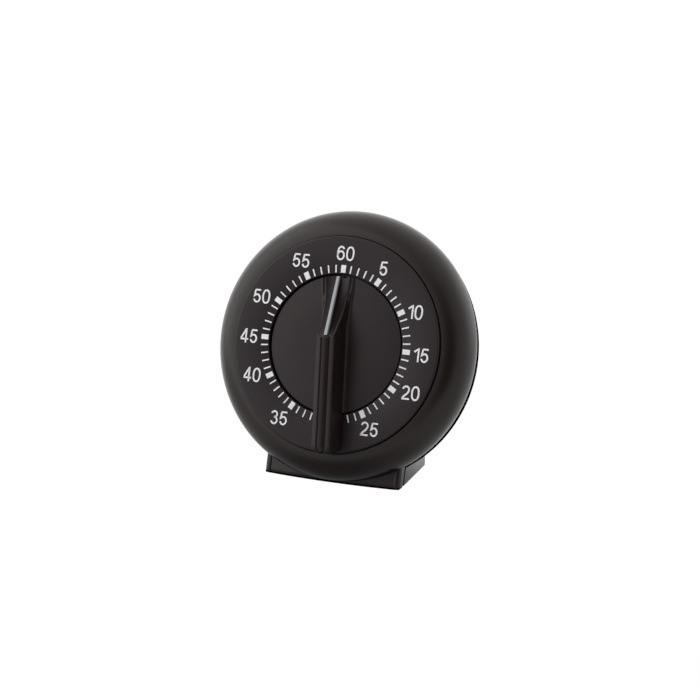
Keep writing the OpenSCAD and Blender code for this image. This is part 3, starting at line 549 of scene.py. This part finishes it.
foot_face_d = 9.6              # the foot's face at its two sides
foot_bulge = 1.0               # how much further forward it stands in its middle
bead_w, panel_sunk, border_h = 1.7, 0.25, 1.2
bead_round, side_round = 0.08, 1.1  # how far a bead's inner and outer edge are rounded back
edge_h = 0.5                   # height of the painted shadow strip along the floor
foot_top_r = 36.9              # the foot's face runs up to this radius, inside the rim


def foot_front_rows():
    """Rows from left to right. Each is a loop: up the foot's face, over its top inside the rim,
    and down its back. The face bulges as a parabola, its panel is sunk between two upright
    beads with rounded edges, and the border below it slopes inwards."""
    outer = np.radians(np.linspace(0, 90, 8))
    inner = np.radians(np.linspace(0, 90, 5))
    in_x = foot_half - bead_w
    half_x = np.concatenate([np.linspace(0, in_x - 0.5, 12), in_x - 0.5 + 0.5 * np.linspace(0.2, 1, 5),
                             in_x + bead_round * (1 - np.cos(inner)) + 0.01,
                             foot_half - 1 + np.sin(outer)])
    side_d = np.concatenate([np.full(17, panel_sunk), panel_sunk * (1 - np.sin(inner)),
                             side_round * (1 - np.cos(outer))])
    xs = np.concatenate([-half_x[:0:-1], half_x])
    front = foot_face_d - foot_bulge * (1 - (xs / foot_half) ** 2)
    panel = front + np.concatenate([side_d[:0:-1], side_d])
    top = -np.sqrt(foot_top_r ** 2 - xs ** 2)
    heights = [0.0, edge_h, edge_h, border_h - 0.3, border_h - 0.1, border_h, 1.5, 2.2]
    depths = [panel + 0.8, panel + 0.8, panel + 0.12, panel + 0.04, panel + 0.01, panel, panel, panel]
    loop = [(floor_y(d, h), d) for h, d in zip(heights, depths)]
    loop.append((np.maximum(top, floor_y(panel) + 2.4), panel))
    y = np.stack([p[0] for p in loop] + [loop[-1][0], floor_y(seam_d) + 0 * xs], -1)
    d = np.stack([p[1] for p in loop] + [seam_d + 0 * xs, seam_d + 0 * xs], -1)
    x = np.broadcast_to(xs[:, None], y.shape)
    return on_dial(x, y, -d)


foot_front = grid_piece("foot_front", foot_front_rows(), case_plastic, wrap_cols=True, caps=True,
                        sharp=40)
floor_cut(foot_front)
placed(foot_front, "case", "black_plastic", "front_housing")


def foot_edge_rows():
    """Rows from left to right across the foot's lowest edge, each a low box from just behind the
    bulging face back to the seam, in near-black as painted contact shadow."""
    xs = np.linspace(-foot_half + 0.12, foot_half - 0.12, 40)
    front = foot_face_d - foot_bulge * (1 - (xs / foot_half) ** 2) + panel_sunk + 0.12
    front[[0, -1]] = front[[1, -2]] + 0.3
    d = np.stack([front, front, seam_d + 0 * xs, seam_d + 0 * xs], -1)
    h = np.array([0.0, edge_h, edge_h, 0.0])
    return on_dial(xs[:, None], floor_y(d, h), -d)


# A near-black strip under the foot's face: painted shadow where the foot meets the floor.
foot_shadow_strip = grid_piece("foot_shadow_strip", foot_edge_rows(), painted_shade_black, wrap_cols=True, caps=True)
floor_cut(foot_shadow_strip)
placed(foot_shadow_strip, "case", "black_plastic", "front_housing")

# ---------------------------------------------------------------- dial plate
# A flat moulded ring pressed into the front housing by three pins behind it, a shade smoother
# than the housing.
dial_plastic = moulded_plastic(
    "dial_plastic", dark=(0.0130, 0.0056, 0.0070), light=(0.0150, 0.0072, 0.0086),
    rough=(0.34, 0.44), shine=0.28, grains=6.5, depth=0.004)
dial_r, dial_round = 29.9, 0.45
dial_outline = np.concatenate([
    [[opening_r, -dial_t], [opening_r, -0.12], [opening_r + 0.04, -0.03], [opening_r + 0.12, 0]],
    arc((dial_r - dial_round, -dial_round), dial_round, 90, 0, 10), [[dial_r, -dial_t]],
])
dial = turned("dial", dial_outline, dial_plastic)
placed(dial, "case", "dial_plastic", "dial_plate")

# ---------------------------------------------------------------- minute marks and numbers
# Pad-printed in a slightly warm white ink: sixty marks round the opening, and a number
# outside every fifth. A number is drawn as pen strokes of one width, as thick as the ink.


def coated(name, colour, patchy, rough):
    """A thin even coat: its colour drops by the patchy share where the ink is thinner."""
    made = bpy.data.materials.new(name)
    made.use_nodes = True
    tree = made.node_tree
    shader = tree.nodes["Principled BSDF"]
    grain = node(tree, "ShaderNodeGroup", (-700, 0), node_tree=grain_group)
    grain.inputs["Grains per mm"].default_value = 7.0
    grain.inputs["Blotch size in mm"].default_value = 0.8
    tone = node(tree, "ShaderNodeMix", (-350, 200), data_type="RGBA")
    tone.inputs[mix_a].default_value = (*(c * (1 - patchy) for c in colour), 1)
    tone.inputs[mix_b].default_value = (*colour, 1)
    spread = node(tree, "ShaderNodeMapRange", (-350, -50), To_Min=rough - 0.06, To_Max=rough + 0.06)
    wired(tree, (grain.outputs["Tone"], tone.inputs["Factor"]),
          (grain.outputs["Gloss"], spread.inputs["Value"]),
          (tone.outputs[mixed], shader.inputs["Base Color"]),
          (spread.outputs["Result"], shader.inputs["Roughness"]))
    return made


white_print = coated("white_print", colour=(0.97, 0.97, 0.96), patchy=0.06, rough=0.5)


def kept(material, *nodes):
    """CAD nodes that are shown as they are take this material."""
    for name in nodes:
        mesh = frame["nodes"][name].data
        mesh.materials.clear()
        mesh.materials.append(material)


kept(white_print, "minute_marks")

pen = 0.48                     # width of a pen stroke
half_w, half_h = 0.95, 1.76    # half the box that the pen's middle stays in
print_top = 0.05               # the ink's height over the dial's face


def bow(centre, rx, ry, first, last, steps=20):
    """Part of an ellipse about centre, from the first angle to the last, in degrees."""
    t = np.radians(np.linspace(first, last, steps))
    return np.stack([centre[0] + rx * np.cos(t), centre[1] + ry * np.sin(t)], -1)


def oval():
    """A closed loop that is squarer than an ellipse: the cosine and sine to a power below one."""
    t = np.linspace(0, 2 * np.pi, 48)
    power = 2 / 2.35
    x = np.sign(np.cos(t)) * np.abs(np.cos(t)) ** power
    y = np.sign(np.sin(t)) * np.abs(np.sin(t)) ** power
    return np.stack([half_w * x, half_h * y], -1)


strokes = {
    "0": [oval()],
    "1": [np.array([[0.22, -1.92], [0.22, 1.85]]), np.array([[-0.98, 0.76], [0.2, 1.68]])],
    "2": [np.concatenate([bow((0, 0.8), 0.86, 0.885, 172, -25, 24),
                          [[0.45, -0.2], [-0.15, -0.72], [-0.62, -1.2], [-0.82, -1.685]]]),
          np.array([[-1.03, -1.685], [1.14, -1.685]])],
    "3": [np.concatenate([bow((-0.02, 0.9), 0.8, 0.785, 165, -60, 22), [[-0.1, 0.14]]]),
          np.concatenate([[[-0.1, 0.14]], bow((0, -0.8), 0.86, 0.885, 65, -168, 26)])],
    "4": [np.array([[0.42, -2.0], [0.42, 2.0]]),
          np.array([[0.3, 1.75], [-0.98, -0.72]]), np.array([[-1.15, -0.98], [1.15, -0.98]])],
    "5": [np.array([[-0.62, 1.685], [0.98, 1.685]]),
          np.concatenate([[[-0.56, 1.7], [-0.78, 0.02]], bow((0, -0.63), 0.86, 1.055, 128, -166, 30)])],
    "6": [bow((0, -0.63), 0.92, 1.13, 0, 360, 40),
          np.concatenate([bow((0.04, 0.3), 0.96, 1.46, 35, 178, 22), [[-0.92, -0.6]]])],
}


def pen_stroke(line, closed):
    """A flat strip along a line: at each point the edges lie half the pen's width to both sides,
    square to the mean direction of the two neighbouring stretches."""
    ahead = np.roll(line, -1, 0) - line
    behind = line - np.roll(line, 1, 0)
    if not closed:
        ahead[-1], behind[0] = behind[-1], ahead[0]
    ahead /= np.linalg.norm(ahead, axis=1)[:, None]
    behind /= np.linalg.norm(behind, axis=1)[:, None]
    way = ahead + behind
    way /= np.linalg.norm(way, axis=1)[:, None]
    side = np.stack([-way[:, 1], way[:, 0]], -1) * pen / 2 / np.sum(way * ahead, 1)[:, None]
    return np.stack([line + side, line - side, line - side, line + side], 1)


def number_piece(text, at):
    """The digits of one number side by side about its middle. A one takes less room."""
    cell, made = 2.0 if text[0] == "1" else 2.74, []
    for k, digit in enumerate(text):
        shift = np.array(at) + [(k - (len(text) - 1) / 2) * cell, 0]
        for line in strokes[digit]:
            closed = len(line) > 5 and np.allclose(line[0], line[-1])
            ribbon = pen_stroke(line[:-1] if closed else line, closed) + shift
            z = np.broadcast_to([print_top, print_top, -0.03, -0.03], ribbon.shape[:2])
            made.append(grid_piece("stroke", on_dial(ribbon[..., 0], ribbon[..., 1], z),
                                   white_print, wrap_rows=closed, wrap_cols=True, caps=not closed))
    return made


# The middle of each number, right of the dial's centre and up the dial.
places = {"60": (0.1, 25.15), "5": (11.6, 21.95), "10": (22.08, 11), "15": (25.15, -0.43),
          "20": (23.45, -10.82), "25": (12.95, -21.9), "30": (0, -25.1), "35": (-13.8, -21.9),
          "40": (-23.35, -10.85), "45": (-25.65, -0.2), "50": (-23.3, 11.15), "55": (-12.75, 22.1)}


def in_one(name, pieces):
    """Several pieces of one material as one object."""
    work = bmesh.new()
    for piece in pieces:
        work.from_mesh(piece.data)
    mesh = bpy.data.meshes.new(name)
    work.to_mesh(mesh)
    work.free()
    mesh.materials.append(pieces[0].data.materials[0])
    for piece in pieces:
        bpy.data.objects.remove(piece)
    whole = bpy.data.objects.new(name, mesh)
    bpy.context.collection.objects.link(whole)
    return whole


numbers = in_one("numbers", [s for text, at in places.items() for s in number_piece(text, at)])
placed(numbers, "case", "white_print")

# ---------------------------------------------------------------- knob
# One moulding that the hand turns: a thin disc in the dial's opening, a hub behind it, and a
# tall grip bar with two flutes and a scoop for the pointer.
knob_plastic = moulded_plastic(
    "knob_plastic", dark=(0.0128, 0.0056, 0.0064), light=(0.0148, 0.0070, 0.0078),
    rough=(0.32, 0.42), shine=0.29, grains=6.0, depth=0.004)
run_down = np.radians(4.3)     # the pointer rests this far left of the sixty mark


def on_knob(x, y, z):
    """A place on the knob, which is turned to where it has run down."""
    c, s = np.cos(run_down), np.sin(run_down)
    return on_dial(x * c - y * s, x * s + y * c, z)


disc_r, disc_z, disc_t = 19.0, -0.6, 1.8
hub_r, hub_z = 4.6, -5.5
disc_outline = np.concatenate([
    [[0, disc_z]], [[9.0, disc_z]], arc((disc_r - 0.15, disc_z - 0.15), 0.15, 90, 0, 5),
    arc((disc_r - 0.2, disc_z - disc_t + 0.2), 0.2, 0, -90, 4),
    [[hub_r, disc_z - disc_t], [hub_r, hub_z], [0, hub_z]],
])
disc = turned("knob_disc", disc_outline, knob_plastic, closed=False)
placed(disc, "knob", "knob_plastic", "knob")

ridge = 7.4                    # the grip bar's top, over the dial's face
grip_end, round_end = -30.05, 2.2
overhang_y = -18.75            # below this the bar has left the disc and hangs over the dial
overhang_z = 0.5               # the bar's underside there
pointer_y = 18.9               # the bar's other end, just inside the disc's edge
scoop_r, scoop_mid_z = 23.6, 23.0
# Half the bar's width at places along it.
width_at = np.array([[-30.5, 2.56], [-28, 2.6], [1.6, 2.6], [5.1, 2.62], [7.7, 2.98], [12.1, 3.3],
                     [15.4, 3.75], [18.9, 3.95]])
# The top's two flutes, as the share of the half width and the drop below the ridge in mm.
flutes = np.array([[-1, 0.2], [-0.53, 0], [-0.50, 0.05], [-0.345, 0.30], [-0.325, 0.27], [-0.31, 0.04],
                   [-0.28, 0], [-0.12, 0.01], [0, 0.04], [0.09, 0.09], [0.12, 0.12], [0.47, 0.64],
                   [0.50, 0.60], [0.53, 0.05], [0.56, 0], [1, 0]])


def scoop_height(t, y):
    """The scoop's floor: a circle seen from the side, whose radius shrinks from the trough in
    the middle to the crests at the edges with a power of the distance from the middle."""
    radius = scoop_r - 0.7 * np.abs(t) ** 3.5
    return scoop_mid_z - np.sqrt(np.maximum(radius ** 2 - (y - disc_r) ** 2, 0))


def grip_rows():
    """Rows from the lower end to the pointer end. Each is a loop round the bar: over the top,
    down the right side, under the bar and up the left side. The top is the lower one of the
    fluted ridge and the scoop's floor, and the lower end is rounded in plan as a quarter
    circle's cosine. The pointer end is bent to follow the disc's edge."""
    turn = np.radians(np.concatenate([[90, 87, 82], np.linspace(76, 6, 12)]))
    y = np.concatenate([grip_end + round_end * (1 - np.sin(turn)),
                        np.linspace(-28, overhang_y - 0.01, 14), [overhang_y],
                        np.linspace(-18.6, -0.6, 24), np.linspace(-0.5, 3.2, 38),
                        np.linspace(3.5, pointer_y, 50)])
    narrow = np.ones(len(y))
    narrow[:len(turn)] = np.cos(turn)
    wide = np.interp(y, width_at[:, 0], width_at[:, 1]) * narrow
    drop = 0.9 * (1 - narrow)
    edge, bend_y = 0.4, 12
    t = np.unique(np.round(np.concatenate([np.linspace(-0.85, 0.85, 69), flutes[1:-1, 0]]), 3))
    bend = np.radians(np.linspace(0, 90, 7))
    top_x = wide[:, None] * t
    fluted = ridge - np.interp(t, flutes[:, 0], flutes[:, 1])
    plain = np.minimum(fluted[None, :] - drop[:, None], scoop_height(t[None, :], y[:, None]))
    crest = np.minimum(ridge - drop, scoop_height(1.0, y))
    e = np.minimum(edge, wide * 0.14 + 1e-6)
    corner_x = (wide - e)[:, None] + e[:, None] * np.sin(bend)
    corner_z = crest[:, None] - edge * (1 - np.cos(bend))
    on_disc = y > overhang_y - 0.002
    foot_z = np.where(on_disc, disc_z, overhang_z)
    low_z = np.where(on_disc, disc_z - 0.5, overhang_z)
    base = wide + narrow * np.where(on_disc, 0.5, 0.8)
    fillet = np.radians(np.linspace(0, 90, 6))
    sign = np.where(on_disc, 1, -1)[:, None]
    fillet_r = np.where(on_disc, 0.8, 0.12) * narrow
    fillet_h = np.minimum(fillet_r, crest - edge - foot_z)
    side_x = base[:, None] + fillet_r[:, None] * sign * (1 - np.cos(fillet))
    side_z = foot_z[:, None] + fillet_h[:, None] * (1 - np.sin(fillet))
    right_x = np.concatenate([corner_x, side_x, side_x[:, -1:]], 1)
    right_z = np.concatenate([corner_z, side_z, low_z[:, None]], 1)
    x = np.concatenate([top_x, right_x, -right_x[:, ::-1]], 1)
    left_drop = np.where(np.arange(right_z.shape[1]) < len(bend), flutes[0, 1], 0)
    left_z = right_z - left_drop
    z = np.concatenate([plain, right_z, left_z[:, ::-1]], 1)
    rows_y = np.broadcast_to(y[:, None], x.shape)
    reach = np.sqrt(pointer_y ** 2 - np.minimum(x ** 2, 30))
    bent = bend_y + (rows_y - bend_y) * (reach - bend_y) / (pointer_y - bend_y)
    return on_knob(x, np.where(rows_y > bend_y, bent, rows_y), z)


grip = grid_piece("knob_grip", grip_rows(), knob_plastic, wrap_cols=True, caps=True, sharp=32)
placed(grip, "knob", "knob_plastic", "knob")

# ---------------------------------------------------------------- pointer rib
# A black fin stands in the scoop, moulded with the knob. A thin pale strip lies along its
# edge, straight down from the top of the grip bar to the marks.
rib_plastic = coated("rib_plastic", colour=(0.36, 0.37, 0.385), patchy=0.08, rough=0.35)
rib_half, strip_h = 0.43, 0.9
rib_y = (2.1, 18.7)            # where it starts at the grip bar, and where it ends at the marks
rib_z = (7.1, 0.25)            # its upper edge at these two places


def rib_rows(half, top, low, edge):
    """Rows from the grip's top to the disc's edge. Each is an upright strip from top below the
    straight line to low below that, or to inside the scoop's floor where low is 0. Its two upper
    edges are rounded to the radius edge. It runs from just left of the bar's middle at the grip
    to just right of it at the marks."""
    y = np.linspace(*rib_y, 40)[:, None]
    line = np.interp(y, rib_y, rib_z) - top
    turn = np.radians(np.linspace(0, 90, 6))[None, :]
    right_x, rise = half - edge + edge * np.cos(turn), line - edge + edge * np.sin(turn)
    base = line - low if low else np.minimum(scoop_height(0, y), line) - 0.5
    x = np.concatenate([right_x, -right_x[:, ::-1], [[-half, half]]], 1)
    z = np.concatenate([rise, rise[:, ::-1], base, base], 1)
    return on_knob(x + np.interp(y, rib_y, (-0.15, 0.18)), y + 0 * x, z)


fin = grid_piece("knob_fin", rib_rows(rib_half - 0.01, strip_h - 0.05, 0, 0.02), knob_plastic,
                 wrap_cols=True, caps=True)
placed(fin, "knob", "knob_plastic", "knob")
strip = grid_piece("pointer", rib_rows(rib_half, 0, strip_h, 0.16), rib_plastic,
                   wrap_cols=True, caps=True)
placed(strip, "knob", "white_plastic", "pointer_rib")

# ---------------------------------------------------------------- case screws and movement
# Four zinc-plated screws hold the housings together. Inside them sits the clockwork: brass
# plates and wheels, steel arbors and pinions, blued springs and a stamped steel bell.


def worked_metal(name, colour, rough, marks):
    """A metal whose roughness and tone follow fine tool marks, stretched noise in one way."""
    made = bpy.data.materials.new(name)
    made.use_nodes = True
    tree = made.node_tree
    shader = tree.nodes["Principled BSDF"]
    shader.inputs["Metallic"].default_value = 1.0
    place = node(tree, "ShaderNodeTexCoord", (-1000, 0))
    stretch = node(tree, "ShaderNodeMapping", (-800, 0), Scale=(marks, 60, 60))
    streak = node(tree, "ShaderNodeTexNoise", (-600, 0), Scale=25.0, Detail=4.0)
    tone = node(tree, "ShaderNodeMix", (-300, 200), data_type="RGBA")
    tone.inputs[mix_a].default_value = (*(c * 0.82 for c in colour), 1)
    tone.inputs[mix_b].default_value = (*colour, 1)
    spread = node(tree, "ShaderNodeMapRange", (-300, -50), To_Min=rough - 0.1, To_Max=rough + 0.12)
    wired(tree, (place.outputs["Object"], stretch.inputs["Vector"]),
          (stretch.outputs[0], streak.inputs["Vector"]), (streak.outputs["Fac"], tone.inputs["Factor"]),
          (streak.outputs["Fac"], spread.inputs["Value"]),
          (tone.outputs[mixed], shader.inputs["Base Color"]),
          (spread.outputs["Result"], shader.inputs["Roughness"]))
    return made


kept(worked_metal("zinc", (0.62, 0.63, 0.65), 0.34, 60),
     "case_screws", "pillar_screws", "movement_screws", "bell_screw")
kept(worked_metal("brass", (0.78, 0.58, 0.26), 0.32, 8),
     "front_plate", "back_plate", "plate_pillars", "arbor_bushes", "main_wheel", "second_wheel",
     "third_wheel", "escape_wheel", "balance_wheel", "trip_cam")
kept(worked_metal("arbor_steel", (0.56, 0.57, 0.59), 0.28, 30),
     "winding_arbor", "ratchet_wheel", "click", "spring_post", "bell_post", "second_pinion",
     "third_pinion", "escape_pinion", "pallet_lever", "pallet_arbor", "hammer", "hammer_arbor")
kept(worked_metal("blued_spring", (0.24, 0.27, 0.33), 0.3, 12),
     "mainspring", "spring_washer", "hammer_spring")
kept(worked_metal("bell_steel", (0.66, 0.6, 0.5), 0.3, 20), "bell")
